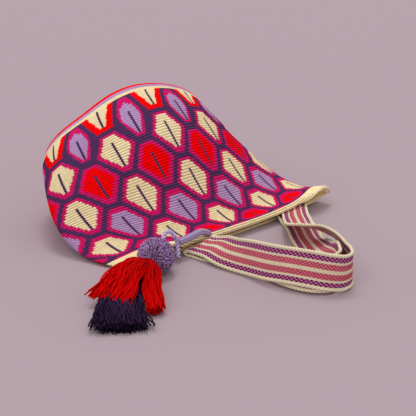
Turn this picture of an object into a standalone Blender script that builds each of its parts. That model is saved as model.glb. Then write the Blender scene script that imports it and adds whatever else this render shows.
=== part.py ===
"""Crocheted bucket bag lying on its side, with its woven strap, drawstring, pompom and tassels.

Metres, +Z up. The mouth of the bag opens towards -Y and its round base is at +Y.
"""

import math

import bmesh
import bpy
import numpy as np
from mathutils import Vector

# Bag shell
BAG_LENGTH = 0.269  # along the upper side, from the edge of the base to the fold of the rim
GIRTH = 0.760
FABRIC = 0.0035
LIP_HEIGHT = 0.0182  # top of the fabric above the floor at the middle of the mouth
MOUTH_FOOT = 0.0225  # where the underside ends, behind the upper lip
BASE_FOOT = 0.2648  # where the underside meets the base
TOP_SLOPES = (6.3, 27.9, 59.4, 60.0, -4.2)  # degrees of fall at even steps from base to mouth
ROUNDNESS = (1.85, 1.71, 2.13)  # exponent of the bag's section at the base, halfway and the mouth
SPINE_X = (0.0086, -0.0159, 0.0148)
BOW_Y = (0.0022, 0.0278, 0.0168)
LEAN_X = (-0.030, 0.042)
ROLL_DEG = (1.6, 0.8)
SAG = 0.006  # how far the underside is pressed flat
SLIT = 0.011  # least height of the flattened mouth, outside
BASE_BULGE = 0.020

# Rises of the upper lip: where the strap lifts it, and at its open right end
STRAP_RISE = 0.004
STRAP_PULL = (0.0, 0.004)  # towards -X and -Y
STRAP_RISE_AT = (0.095, 0.040)  # place across the mouth and spread
LOOP_RISE = 0.0148
LOOP_RISE_AT = (0.155, 0.040)

# Rolled rim
RIM_BAND = 0.019
RIM_STEPS = 5
LIP_RADIUS = 0.0040
LIP_TURN = 3.3
LIP_GAP = 0.003  # least opening between the rolled lip and the lower one
ROLL_FROM = (-0.150, -0.080)  # along the mouth, where the roll begins on the left and is full
ROLL_TO = (0.100, 0.140)  # where it begins to open again on the right, and is open

# Crochet pattern, counted in rounds from the edge of the base and in columns round the girth
COLUMNS = 10
COLUMN_PITCH = 0.0814  # on the upper side, where the columns are widest
STITCHES = 24  # in one column
ROUND = 0.00307
FIRST_ROUND = 0.0194  # from the edge of the base to round 0
RIM_ROUND = 93
GATHER_ROUND = 55  # from here to the rim the rounds are drawn together
ROW_ROUNDS = 12
DRIFT = (0.0163, -0.1063, -0.0032, -0.0068)
RIB_HALF = 0.6
LEAF = ((4, 2.2), (11.5, 6.4), (21, 0.9))
BORDER = ((1.5, 2.6), (12, 8.1), (22.7, 2.0))
RIB = (8.3, 20.6)
SMALL_LEAF = ((1.3, 0.4), (3.9, 2.7), (6.5, 3.5), (11.8, 4.0), (17.1, 2.2), (20.8, 0.6))
SMALL_BORDER = ((-3.7, 1.8), (1.3, 3.4), (6.5, 4.8), (11.8, 5.3), (22.5, 1.5))
HALF_LEAF = ((7.5, 5.3), (20.9, 1.3))
HALF_BORDER = ((7.5, 7.8), (22.8, 3.9))
LAST_LEAF = ((4, 2.4), (9.5, 6.0), (13, 3.9))
LAST_BORDER = ((1.5, 2.8), (9.8, 7.9), (15, 5.1))
LEAF_COLOURS = ("cream", "lilac", "cream", "red")
BASE_BANDS = (("cream", 2), ("lilac", 3), ("red", 4), ("plum", 5), ("cream", 5),
              ("magenta", 5), ("plum", 6), ("lilac", 7), ("red", 7), ("cream", 99))

# Mesh of the shell
WALL_STEP = 3  # rounds in one row of faces
LINES_PER_COLUMN = 12
BASE_RINGS = (0.93, 0.78, 0.55, 0.28)
LINING_STEPS = 7
LINING_RINGS = (0.80, 0.45)
LINING_BACK = 0.022  # from the fold of the rim back to the first row of the lining

# Shoulder strap
STRAP_WIDTH = 0.046
STRAP_THICKNESS = 0.0025
SEAM_GAP = 0.0004
STRAP_SEGMENTS = 84
BEND_STEP = 0.010  # of the strap's length for each radian that it bends: closer segments in bends
STRIPES = (("cream", 0.10), ("violet", 0.13), ("cream", 0.085), ("crimson", 0.135), ("cream", 0.10),
           ("crimson", 0.135), ("cream", 0.085), ("violet", 0.13), ("cream", 0.10))
UPPER_SEAM = (0.078, 0.118)  # along the mouth: the strap's two selvedges under the upper lip
LOWER_SEAM = (0.238, 0.282)
SEAM_DEPTH = 0.012  # how far each end reaches into the mouth

# Drawstring, loop, pompom and tassels
CORD_DIAMETER = 0.0095
LOOP_DIAMETER = 0.0045
POMPOM_RADIUS = 0.0225
POMPOM_CENTRE = (-0.135, -0.023, 0.0225)
TOUCH_GAP = 0.0003

ORIGIN_ON_FLOOR = (-0.006, 0.131)  # middle of the flat underside

COLOURS = {
    "cream": (0.83, 0.67, 0.38),
    "lilac": (0.48, 0.31, 0.56),
    "red": (0.79, 0.002, 0.002),
    "magenta": (0.61, 0.010, 0.130),
    "plum": (0.070, 0.026, 0.092),
    "crimson": (0.52, 0.032, 0.080),
    "violet": (0.30, 0.055, 0.24),
    "pompom": (0.26, 0.14, 0.32),
    "cord": (0.30, 0.24, 0.40),
    "tassel_red": (0.75, 0.002, 0.002),
    "tassel_dark": (0.032, 0.016, 0.045),
}


def clear_scene():
    """Start from an empty scene."""
    for thing in list(bpy.data.objects):
        bpy.data.objects.remove(thing, do_unlink=True)


def yarn(name):
    """Return the matt yarn material of one colour."""
    material = bpy.data.materials.get(name) or bpy.data.materials.new(name)
    material.use_nodes = True
    shader = material.node_tree.nodes["Principled BSDF"]
    shader.inputs["Base Color"].default_value = (*COLOURS[name], 1)
    shader.inputs["Roughness"].default_value = 0.85
    shader.inputs["Metallic"].default_value = 0
    material.diffuse_color = (*COLOURS[name], 1)
    return material


def add_object(name, mesh, colours):
    """Put a finished mesh in the scene, with its origin at the resting place of the bag."""
    thing = bpy.data.objects.new(name, mesh)
    for colour in colours:
        mesh.materials.append(yarn(colour))
    bpy.context.collection.objects.link(thing)
    return thing


def unit(vectors):
    """Scale each vector to length 1."""
    return vectors / np.linalg.norm(vectors, axis=-1, keepdims=True)


def curve_through(values, t):
    """Value at t of the polynomial through evenly spaced values."""
    stops = np.linspace(0, 1, len(values))
    return np.polyval(np.polyfit(stops, values, len(values) - 1), t)


def smooth_path(points, count):
    """Points spaced evenly along a smooth curve through the given points."""
    points = np.array(points, float)
    knots = np.concatenate([[0], np.cumsum(np.linalg.norm(np.diff(points[:, :3], axis=0), axis=1))])
    slopes = np.gradient(points, knots, axis=0)
    at = np.linspace(0, knots[-1], count)
    piece = np.clip(np.searchsorted(knots, at, side="right") - 1, 0, len(knots) - 2)
    span = (knots[piece + 1] - knots[piece])[:, None]
    t = ((at - knots[piece])[:, None]) / span
    start, end = points[piece], points[piece + 1]
    begin, finish = slopes[piece] * span, slopes[piece + 1] * span
    return (start * (2 * t**3 - 3 * t**2 + 1) + begin * (t**3 - 2 * t**2 + t)
            + end * (3 * t**2 - 2 * t**3) + finish * (t**3 - t**2))


# Shape of the bag

LINE_POINTS = 200
LINE_V = np.linspace(0, BAG_LENGTH, LINE_POINTS + 1)


def run_back(values):
    """Distance still to go to the mouth, for a rate given at each point of the top line."""
    steps = (values[1:] + values[:-1]) / 2 * BAG_LENGTH / LINE_POINTS
    gone = np.concatenate([[0], np.cumsum(steps)])
    return gone[-1] - gone


LINE_SLOPE = np.radians(curve_through(TOP_SLOPES, LINE_V / BAG_LENGTH))
LINE_Z = LIP_HEIGHT + run_back(np.sin(LINE_SLOPE))
LINE_Y = run_back(np.cos(LINE_SLOPE))


def section(t, tall):
    """Half the outline of one ring: distance round it, half width and height share."""
    turn = np.linspace(0, math.pi, 121)
    power = 2 / curve_through(ROUNDNESS, t)
    across = np.abs(np.sin(turn)) ** power
    up = np.sign(np.cos(turn)) * np.abs(np.cos(turn)) ** power * tall / 2
    narrow, wide = 0.02, 0.4
    for _ in range(30):
        half = (narrow + wide) / 2
        if np.hypot(np.diff(half * across), np.diff(up)).sum() > GIRTH / 2:
            wide = half
        else:
            narrow = half
    run = np.concatenate([[0], np.cumsum(np.hypot(np.diff(half * across), np.diff(up)))])
    return run, half * across, up / tall + 0.5, half


def ring(v, around, inset=0.0):
    """Points of the shell at distance v from the base edge and places around it.

    around is 0 at the top of the bag and grows towards +X. inset moves the points inwards.
    """
    t = v / BAG_LENGTH
    top_y, top_z = np.interp(v, LINE_V, LINE_Y), np.interp(v, LINE_V, LINE_Z)
    foot_y = MOUTH_FOOT * t + BASE_FOOT * (1 - t)
    tall = math.hypot(top_z, top_y - foot_y)
    run, widths, shares, half = section(t, tall)
    place = (np.asarray(around, float) + GIRTH / 2) % GIRTH - GIRTH / 2
    across = np.sign(place) * np.interp(np.abs(place), run, widths)
    share = np.interp(np.abs(place), run, shares)
    bow = (across / half) ** 2
    least = inset + share * (SLIT - 2 * inset)
    across = across * (half - inset) / half
    share = (inset + share * (tall - 2 * inset)) / tall
    near_mouth = t**6 * share
    strap = near_mouth * np.exp(-(((across - STRAP_RISE_AT[0]) / STRAP_RISE_AT[1]) ** 2))
    loop = near_mouth * np.exp(-(((across - LOOP_RISE_AT[0]) / LOOP_RISE_AT[1]) ** 2))
    roll = math.radians(ROLL_DEG[0] * (1 - t) + ROLL_DEG[1] * t)
    lean = LEAN_X[0] * (1 - t) + LEAN_X[1] * t
    x = curve_through(SPINE_X, t) + across + lean * (share - 0.5) - STRAP_PULL[0] * strap
    y = top_y * share + foot_y * (1 - share) + curve_through(BOW_Y, t) * bow - STRAP_PULL[1] * strap
    z = top_z * share - SAG * (1 - share) + math.tan(roll) * across * np.clip(1.5 * share, 0, 1)
    z = z + STRAP_RISE * strap + LOOP_RISE * loop
    return np.stack([x, y, np.maximum(z, least)], -1)


def round_distance(count):
    """Distance from the base edge to a round of stitches; the last rounds are drawn together."""
    free = FIRST_ROUND + ROUND * RIM_ROUND - BAG_LENGTH
    gather = np.maximum(count - GATHER_ROUND, 0) / (RIM_ROUND - GATHER_ROUND)
    return FIRST_ROUND + ROUND * count - free * gather**2


def column_place(column, v):
    """Place around the bag of a pattern column, at distance v from the base edge."""
    t = v / BAG_LENGTH
    widening = (COLUMNS * COLUMN_PITCH - GIRTH) / (2 * math.pi)
    drift = DRIFT[0] + DRIFT[1] * v + DRIFT[2] * 4 * t * (1 - t) + DRIFT[3] * 10 * t * (1 - t) * (1 - 2 * t)
    share = np.asarray(column, float) / COLUMNS
    return GIRTH * share + widening * np.sin(2 * math.pi * share) + drift


def smooth_step(x, low, high):
    """Rise smoothly from 0 at low to 1 at high."""
    t = np.clip((x - low) / (high - low), 0, 1)
    return t * t * (3 - 2 * t)


def roll_share(around):
    """1 where the rim is rolled under, along the middle of the upper lip, and 0 where it is straight."""
    place = (np.asarray(around, float) + GIRTH / 2) % GIRTH - GIRTH / 2
    return smooth_step(place, *ROLL_FROM) * (1 - smooth_step(place, *ROLL_TO))


def rim_rows(around, steps=RIM_STEPS):
    """Rows of the rim band beyond its fold, and the lining's edge behind the last of them.

    Along the middle of the upper lip the band rolls under; at the ends and below it lies straight.
    """
    fold = ring(BAG_LENGTH, around)
    forward = unit(fold - ring(BAG_LENGTH - 0.008, around))
    along = ring(BAG_LENGTH, np.asarray(around) + 0.002) - ring(BAG_LENGTH, np.asarray(around) - 0.002)
    outward = unit(np.cross(forward, along))
    rolled = roll_share(around)
    rows = []
    step = RIM_BAND / steps
    radius = np.clip((fold[:, 2] - FABRIC - LIP_GAP) / 2, 0.001, LIP_RADIUS)
    for i in range(steps):
        reach = (i + 0.5) * step - RIM_BAND * (1 - rolled)
        turn = np.clip(reach / radius, 0, LIP_TURN)[:, None]
        fold = fold + step * (forward * np.cos(turn) - outward * np.sin(turn))
        fold[:, 2] = np.maximum(fold[:, 2], 0)
        rows.append(fold)
    edge = fold - FABRIC * (outward * np.cos(turn) + forward * np.sin(turn))
    edge[:, 2] = np.maximum(edge[:, 2], FABRIC)
    return rows, edge


def half_width(outline, height):
    """Half width in stitches of a motif at a height in rounds, or -1 beyond its ends."""
    if not outline[0][0] <= height <= outline[-1][0]:
        return -1
    return np.interp(height, [point[0] for point in outline], [point[1] for point in outline])


def motif(row):
    """Outlines of leaf, border and rib for one row of leaves."""
    if row == 0:
        return HALF_LEAF, HALF_BORDER, (8.5, 20.0), "red"
    if row == 1:
        return SMALL_LEAF, SMALL_BORDER, (8.9, 20.7), "magenta"
    if row == 7:
        return LAST_LEAF, LAST_BORDER, (8.3, 13.0), "magenta"
    return LEAF, BORDER, RIB, "magenta"


def pattern_colour(count, column):
    """Colour of the crochet at a round and a column."""
    if count < 0:
        depth = -count
        for colour, width in BASE_BANDS:
            if depth < width:
                return colour
            depth -= width
    if count >= RIM_ROUND:
        return "cream"
    for row in range(9):
        height = count - (ROW_ROUNDS * row - 7.5)
        middle = round(column - 0.5 * (row % 2)) + 0.5 * (row % 2)
        off = abs(column - middle) * STITCHES
        leaf, border, rib, edge = motif(row)
        if row < 8 and off < half_width(leaf, height):
            return "plum" if off < RIB_HALF and rib[0] < height < rib[1] else LEAF_COLOURS[row % 4]
        if off < half_width(border, height):
            return edge
    return "plum"


def pattern_columns():
    """Columns of the shell's mesh lines, closer together beside each rib."""
    side = np.linspace(RIB_HALF, STITCHES / 2 - RIB_HALF, LINES_PER_COLUMN // 2) / STITCHES
    offsets = np.concatenate([-side[::-1], side])
    middles = np.arange(COLUMNS) - COLUMNS // 2
    return (middles[:, None] + offsets[None, :]).ravel()


def base_cap(edge_top, edge_foot, edge, share, depth):
    """Points of the bulging base at a share of the way from its centre to its edge."""
    centre = (edge_top + edge_foot) / 2
    out = unit(np.cross(edge_top - edge_foot, np.array([1.0, 0, 0])))
    if out[1] < 0:
        out = -out
    bulge = depth * (1 - share**2.6) ** (1 / 2.6)
    points = centre + (edge - centre) * share + out * bulge
    points[:, 2] = np.maximum(points[:, 2], 0)
    return points


class Shell:
    """Collects rows of points and coloured triangles, and turns them into one mesh."""

    def __init__(self):
        self.points = []
        self.faces = []
        self.colours = []

    def row(self, points):
        """Add a row of points and return its indices."""
        start = len(self.points)
        self.points.extend([tuple(map(float, point)) for point in points])
        return list(range(start, len(self.points)))

    def face(self, corners, colour):
        """Add one triangle."""
        self.faces.append(corners)
        self.colours.append(colour)

    def mesh(self, name, palette):
        """Return the mesh, moved so that the middle of the flat underside is the origin."""
        points = [(x - ORIGIN_ON_FLOOR[0], y - ORIGIN_ON_FLOOR[1], z) for x, y, z in self.points]
        mesh = bpy.data.meshes.new(name)
        mesh.from_pydata(points, [], self.faces)
        for polygon, colour in zip(mesh.polygons, self.colours):
            polygon.material_index = palette.index(colour)
        mesh.update()
        return mesh


def coloured_quad(shell, corners, counts, columns):
    """Split one cell of the crochet along the diagonal that follows the pattern better."""
    choices = []
    for first, second in (((0, 1, 2), (0, 2, 3)), ((0, 1, 3), (1, 2, 3))):
        tones = []
        for part in (first, second):
            count = sum(counts[k] for k in part) / 3
            column = sum(columns[k] for k in part) / 3
            tones.append(pattern_colour(count, column))
        choices.append((first, second, tones))
    first, second, tones = choices[0] if choices[0][2][0] != choices[0][2][1] else choices[1]
    shell.face([corners[k] for k in first], tones[0])
    shell.face([corners[k] for k in second], tones[1])


def bag_body():
    """The crocheted shell: base, patterned wall, rolled rim and lining, as one closed body."""
    shell = Shell()
    columns = pattern_columns()
    total = len(columns)
    edge = ring(0, column_place(columns, 0))
    top, foot = ring(0, [0.0])[0], ring(0, [GIRTH / 2])[0]
    reach = GIRTH / (2 * math.pi) / ROUND

    pole_point = base_cap(top, foot, edge[:1], 0.0, BASE_BULGE)
    pole = shell.row(pole_point)[0]
    rows, counts = [], []
    first_count = -FIRST_ROUND / ROUND
    for share in reversed(BASE_RINGS):
        rows.append(shell.row(base_cap(top, foot, edge, share, BASE_BULGE)))
        counts.append(first_count - (1 - share) * reach)
    rows.append(shell.row(edge))
    counts.append(first_count)
    for count in [-5, -2] + list(range(0, RIM_ROUND + 1, WALL_STEP)):
        v = min(float(round_distance(count)), BAG_LENGTH)
        rows.append(shell.row(ring(v, column_place(columns, v))))
        counts.append(count)
    around = column_place(columns, BAG_LENGTH)
    band, lip = rim_rows(around)
    for i, points in enumerate(band):
        rows.append(shell.row(points))
        counts.append(RIM_ROUND + 1 + i)

    for j in range(total):
        shell.face([pole, rows[0][j], rows[0][(j + 1) % total]], "cream")
    for (low, high), (near, far) in zip(zip(rows, rows[1:]), zip(counts, counts[1:])):
        for j in range(total):
            k = (j + 1) % total
            left = columns[j]
            right = columns[k] if k else columns[0] + COLUMNS
            coloured_quad(shell, (low[j], high[j], high[k], low[k]), (near, far, far, near),
                          (left, left, right, right))

    lining_columns = columns[::2]
    half = len(lining_columns)
    previous = shell.row(lip[::2])
    last = rows[-1]
    for j in range(half):
        a, b, c = last[2 * j], last[2 * j + 1], last[(2 * j + 2) % total]
        near, far = previous[j], previous[(j + 1) % half]
        shell.face([b, a, near], "cream")
        shell.face([b, near, far], "cream")
        shell.face([c, b, far], "cream")
    share = roll_share(around[::2])[:, None]
    at_fold, behind = (ring(v, around[::2], FABRIC) for v in (BAG_LENGTH, BAG_LENGTH - LINING_BACK / 2))
    current = shell.row(at_fold * (1 - share) + behind * share)
    join_rows(shell, current, previous, "cream")
    previous = current
    for v in np.linspace(BAG_LENGTH - LINING_BACK, 0.006, LINING_STEPS):
        current = shell.row(ring(v, column_place(lining_columns, v), FABRIC))
        join_rows(shell, current, previous, "plum")
        previous = current
    inner_edge = ring(0, column_place(lining_columns, 0), FABRIC)
    for share in LINING_RINGS:
        current = shell.row(base_cap(top, foot, inner_edge, share, BASE_BULGE - FABRIC))
        join_rows(shell, current, previous, "plum")
        previous = current
    centre = shell.row(base_cap(top, foot, inner_edge[:1], 0.0, BASE_BULGE - FABRIC))[0]
    for j in range(half):
        shell.face([previous[(j + 1) % half], previous[j], centre], "plum")
    palette = ["cream", "lilac", "red", "magenta", "plum"]
    return add_object("bag_body", shell.mesh("bag_body", palette), palette)


def join_rows(shell, first, second, colour):
    """Join two closed rows of equal length with triangles."""
    size = len(first)
    for j in range(size):
        k = (j + 1) % size
        shell.face([first[j], first[k], second[k]], colour)
        shell.face([first[j], second[k], second[j]], colour)


# Strap

def strap_seam(places, upper):
    """Upper and lower selvedge where the strap passes the lip that it is sewn to."""
    rows, edge = rim_rows(np.linspace(*places, 7))
    clearance = STRAP_THICKNESS / 2 + SEAM_GAP
    points = edge[[0, -1]]
    if upper:
        points[:, 2] = np.min(rows, axis=0)[:, 2].min() - clearance
    else:
        lining = ring(BAG_LENGTH - LINING_BACK, np.linspace(*places, 7), FABRIC)
        points[:, 2] = max(edge[:, 2].max(), lining[:, 2].max()) + clearance
    return points


def strap_end(seam, next_pair):
    """The strap's end, inside the mouth beyond its seam."""
    inward = seam.mean(axis=0) - np.mean(next_pair, axis=0)
    inward[2] = 0
    return seam + SEAM_DEPTH * unit(inward)


def strap_rails():
    """Stations of the strap: one point on each selvedge, from the upper seam to the lower one."""
    free = [
        ((0.1000, -0.0090, 0.0115), (0.1400, -0.0140, 0.0115)),
        ((0.0860, -0.0240, 0.0175), (0.1250, -0.0300, 0.0155)),
        ((0.0665, -0.0450, 0.0243), (0.1065, -0.0540, 0.0200)),
        ((0.0500, -0.0680, 0.0310), (0.0900, -0.0790, 0.0220)),
        ((0.0510, -0.0930, 0.0380), (0.0910, -0.0990, 0.0190)),
        ((0.0580, -0.1190, 0.0430), (0.0920, -0.1200, 0.0145)),
        ((0.0540, -0.1420, 0.0455), (0.0800, -0.1390, 0.0090)),
        ((0.0470, -0.1630, 0.0460), (0.0620, -0.1590, 0.0035)),
        ((0.0370, -0.1820, 0.0465), (0.0450, -0.1790, 0.0015)),
        ((0.0300, -0.1960, 0.0470), (0.0330, -0.1960, 0.0015)),
        ((0.0190, -0.2080, 0.0470), (0.0170, -0.2100, 0.0015)),
        ((0.0050, -0.2110, 0.0480), (-0.0030, -0.2130, 0.0030)),
        ((-0.0090, -0.2040, 0.0495), (-0.0230, -0.2060, 0.0055)),
        ((-0.0200, -0.1860, 0.0505), (-0.0360, -0.1870, 0.0070)),
        ((-0.0300, -0.1640, 0.0510), (-0.0480, -0.1640, 0.0080)),
        ((-0.0400, -0.1370, 0.0500), (-0.0570, -0.1390, 0.0068)),
        ((-0.0420, -0.1060, 0.0450), (-0.0590, -0.1050, 0.0030)),
        ((-0.0390, -0.0710, 0.0360), (-0.0690, -0.0610, 0.0040)),
        ((-0.0310, -0.0420, 0.0280), (-0.0720, -0.0360, 0.0090)),
        ((-0.0290, -0.0220, 0.0215), (-0.0740, -0.0180, 0.0115)),
        ((-0.0310, -0.0125, 0.0195), (-0.0760, -0.0085, 0.0105)),
        ((-0.0330, -0.0090, 0.0145), (-0.0780, -0.0050, 0.0065)),
        ((-0.0330, -0.0120, 0.0095), (-0.0780, -0.0080, 0.0020)),
        ((-0.0310, -0.0210, 0.0085), (-0.0760, -0.0170, 0.0015)),
        ((-0.0290, -0.0360, 0.0150), (-0.0710, -0.0340, 0.0015)),
        ((-0.0250, -0.0640, 0.0320), (-0.0570, -0.0600, 0.0015)),
        ((-0.0280, -0.0980, 0.0440), (-0.0440, -0.0950, 0.0015)),
        ((-0.0230, -0.1250, 0.0440), (-0.0370, -0.1250, 0.0015)),
        ((-0.0180, -0.1470, 0.0410), (-0.0400, -0.1450, 0.0015)),
        ((-0.0110, -0.1680, 0.0400), (-0.0380, -0.1680, 0.0015)),
        ((-0.0020, -0.1830, 0.0410), (-0.0260, -0.1880, 0.0015)),
        ((0.0070, -0.1910, 0.0430), (-0.0070, -0.1980, 0.0015)),
        ((0.0170, -0.1910, 0.0440), (0.0060, -0.1970, 0.0015)),
        ((0.0240, -0.1830, 0.0440), (0.0150, -0.1880, 0.0015)),
        ((0.0290, -0.1720, 0.0440), (0.0190, -0.1730, 0.0015)),
        ((0.0400, -0.1580, 0.0410), (0.0230, -0.1500, 0.0015)),
        ((0.0520, -0.1430, 0.0370), (0.0300, -0.1250, 0.0015)),
        ((0.0640, -0.1330, 0.0270), (0.0365, -0.1100, 0.0015)),
        ((0.0820, -0.1210, 0.0110), (0.0450, -0.0950, 0.0015)),
        ((0.0920, -0.1040, 0.0050), (0.0540, -0.0790, 0.0015)),
        ((0.1040, -0.0830, 0.0030), (0.0660, -0.0570, 0.0015)),
        ((0.1260, -0.0500, 0.0025), (0.0880, -0.0230, 0.0020)),
    ]
    upper_seam = strap_seam(UPPER_SEAM, True)
    lower_seam = strap_seam(LOWER_SEAM, False)
    pairs = [strap_end(upper_seam, free[0]), upper_seam] + free + [lower_seam, strap_end(lower_seam, free[-1])]
    pairs = np.array([np.array(pair) for pair in pairs])
    return pairs[:, 0], pairs[:, 1]


def strap_frames(segments):
    """Centre, direction across and normal of the strap at even steps along it."""
    upper, lower = strap_rails()
    middle = (upper + lower) / 2
    path = smooth_path(np.hstack([middle, unit(upper - lower)]), 600)
    steps = np.diff(path[:, :3], axis=0)
    bends = np.linalg.norm(np.diff(unit(steps), axis=0), axis=1)
    pace = np.linalg.norm(steps, axis=1) + BEND_STEP * np.concatenate([[0], bends])
    passed = np.concatenate([[0], np.cumsum(pace)])
    at = np.linspace(0, passed[-1], segments + 1)
    path = np.stack([np.interp(at, passed, column) for column in path.T], -1)
    centre = path[:, :3]
    along = unit(np.gradient(centre, axis=0))
    across = unit(path[:, 3:])
    droop = np.abs(across[:, 2]) * STRAP_WIDTH / 2 + STRAP_THICKNESS / 2
    centre[:, 2] = np.maximum(centre[:, 2], droop)
    return centre, across, unit(np.cross(along, across))


def shoulder_strap():
    """The woven strap, one long band from the upper lip round two turns to the lower lip."""
    shell = Shell()
    centre, across, normal = strap_frames(STRAP_SEGMENTS)
    total = sum(width for name, width in STRIPES)
    edges = np.concatenate([[0], np.cumsum([width for name, width in STRIPES])]) / total - 0.5
    tones = [name for name, width in STRIPES]
    loops = []
    for i in range(len(centre)):
        face = [centre[i] + across[i] * STRAP_WIDTH * e + normal[i] * STRAP_THICKNESS / 2 for e in edges]
        back = [centre[i] + across[i] * STRAP_WIDTH * e - normal[i] * STRAP_THICKNESS / 2 for e in edges]
        loops.append(shell.row(face + back[::-1]))
    size = len(loops[0])
    stripe = tones + ["cream"] + tones[::-1] + ["cream"]
    for first, second in zip(loops, loops[1:]):
        for j in range(size):
            k = (j + 1) % size
            shell.face([first[j], second[j], second[k]], stripe[j])
            shell.face([first[j], second[k], first[k]], stripe[j])
    for loop, turned in ((loops[0], False), (loops[-1], True)):
        for j in range(len(tones)):
            a, b, c, d = loop[j], loop[j + 1], loop[size - 2 - j], loop[size - 1 - j]
            for corners in ([a, b, c], [a, c, d]):
                shell.face(corners[::-1] if turned else corners, "cream")
    palette = ["cream", "violet", "crimson"]
    return add_object("shoulder_strap", shell.mesh("shoulder_strap", palette), palette)


# Cords, pompom and tassels

# Each point: place, and thickness as a share of the cord's own; the mouth pinches the drawstring
DRAWSTRING_ROUTE = (
    (-0.0150, 0.0080, 0.0068, 0.45), (-0.0205, -0.0020, 0.0072, 0.45), (-0.0215, -0.0100, 0.0180, 0.70),
    (-0.0270, -0.0140, 0.0300, 0.90), (-0.0400, -0.0120, 0.0320, 1.0), (-0.0560, -0.0060, 0.0275, 1.0),
    (-0.0720, -0.0060, 0.0245, 1.0), (-0.0862, -0.0069, 0.0236, 1.0),
)
LOOP_FROM_POMPOM = (0.778, 0.479, 0.404)  # direction from the pompom's centre to the loop's start
LOOP_ROUTE = (
    (-0.1120, -0.0080, 0.0345, 1.0), (-0.1040, -0.0035, 0.0390, 1.0), (-0.0965, -0.0030, 0.0385, 1.0),
    (-0.0930, -0.0065, 0.0335, 1.0), (-0.0890, -0.0072, 0.0235, 1.0), (-0.0915, -0.0125, 0.0130, 1.0),
    (-0.0950, -0.0170, 0.0065, 1.0),
)
RED_FROM_POMPOM = ((-0.93, -0.24, 0.28), (-0.86, -0.42, 0.28))


def pompom_reach(direction):
    """Distance from the pompom's centre to its uneven surface in a direction."""
    x, y, z = direction
    swell = math.sin(7 * x + 1) * math.sin(6 * y + 2) * math.sin(8 * z)
    return POMPOM_RADIUS * (0.97 + 0.03 * swell)


def on_pompom(direction, gap=TOUCH_GAP):
    """The point just clear of the pompom's surface in a direction from its centre."""
    direction = unit(np.array(direction))
    return tuple(np.array(POMPOM_CENTRE) + direction * (pompom_reach(direction) + gap))


def cord(name, route, diameter, count):
    """A plain round cord along a smooth curve through its route."""
    curve = bpy.data.curves.new(name, "CURVE")
    curve.dimensions = "3D"
    curve.bevel_depth = diameter / 2
    curve.bevel_resolution = 2
    curve.use_fill_caps = True
    spline = curve.splines.new("POLY")
    points = smooth_path(route, count)
    spline.points.add(len(points) - 1)
    for point, (x, y, z, share) in zip(spline.points, points):
        point.co = (x - ORIGIN_ON_FLOOR[0], y - ORIGIN_ON_FLOOR[1], z, 1)
        point.radius = share
    thing = bpy.data.objects.new(name, curve)
    curve.materials.append(yarn("cord"))
    bpy.context.collection.objects.link(thing)
    return thing


def pompom():
    """A ball of cut yarn, slightly uneven."""
    mesh = bpy.data.meshes.new("pompom")
    form = bmesh.new()
    bmesh.ops.create_icosphere(form, subdivisions=3, radius=POMPOM_RADIUS)
    centre = Vector(POMPOM_CENTRE) - Vector((*ORIGIN_ON_FLOOR, 0))
    for vertex in form.verts:
        direction = vertex.co.normalized()
        vertex.co = centre + direction * pompom_reach(direction)
    form.to_mesh(mesh)
    form.free()
    for polygon in mesh.polygons:
        polygon.use_smooth = True
    return add_object("pompom", mesh, ["pompom"])


def tassel(name, colour, bunches, lobes):
    """A tassel of one or two bunches: each lies along its route and spreads towards the tips."""
    made = []
    for i, (route, widths, heights) in enumerate(bunches):
        made.append(bunch(f"{name}_{i}" if i else name, colour, route, widths, heights, lobes))
    for extra in made[1:]:
        union = made[0].modifiers.new("join", "BOOLEAN")
        union.operation = "UNION"
        union.solver = "EXACT"
        union.object = extra
        extra.hide_render = True
        extra.display_type = "WIRE"
    return made[0]


def bunch(name, colour, route, widths, heights, lobes):
    """One bunch of strands as a ridged, flattened form with its own head and tips."""
    shell = Shell()
    path = smooth_path(route, 10)
    along = unit(np.gradient(path, axis=0))
    side = unit(np.cross(np.array([0, 0, 1.0]), along))
    up = np.cross(along, side)
    size = 2 * lobes
    rows = []
    for i, place in enumerate(path):
        t = i / (len(path) - 1)
        wide = np.interp(t, np.linspace(0, 1, len(widths)), widths) / 2
        tall = np.interp(t, np.linspace(0, 1, len(heights)), heights) / 2
        points = []
        for j in range(size):
            turn = 2 * math.pi * j / size
            ridge = 1 + 0.05 * (1 if j % 2 else -1) * min(1, 3 * t)
            point = place + side[i] * wide * ridge * math.cos(turn) + up[i] * tall * ridge * math.sin(turn)
            point[2] = max(point[2], 0.0)
            points.append(point)
        rows.append(shell.row(points))
    for first, second in zip(rows, rows[1:]):
        join_rows(shell, first, second, colour)
    for row, turned in ((rows[0], False), (rows[-1], True)):
        middle = shell.row([np.mean([shell.points[k] for k in row], axis=0)])[0]
        for j in range(size):
            corners = [row[j], middle, row[(j + 1) % size]]
            shell.face(corners[::-1] if turned else corners, colour)
    return add_object(name, shell.mesh(name, [colour]), [colour])


RED_BUNCHES = (
    ((on_pompom(RED_FROM_POMPOM[0], 0.0012), (-0.180, -0.029, 0.0300), (-0.205, -0.028, 0.0260),
      (-0.250, -0.052, 0.0145)),
     (0.012, 0.036, 0.046, 0.042), (0.010, 0.015, 0.014, 0.008)),
    ((on_pompom(RED_FROM_POMPOM[1], 0.0045), (-0.172, -0.056, 0.0300), (-0.192, -0.092, 0.0240),
      (-0.224, -0.136, 0.0140)),
     (0.012, 0.026, 0.034, 0.036), (0.010, 0.014, 0.013, 0.008)),
)
DARK_BUNCHES = (
    (((-0.168, -0.040, 0.0090), (-0.190, -0.058, 0.0090), (-0.215, -0.080, 0.0075), (-0.258, -0.118, 0.0065)),
     (0.016, 0.046, 0.062, 0.078), (0.015, 0.016, 0.013, 0.011)),
)


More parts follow.
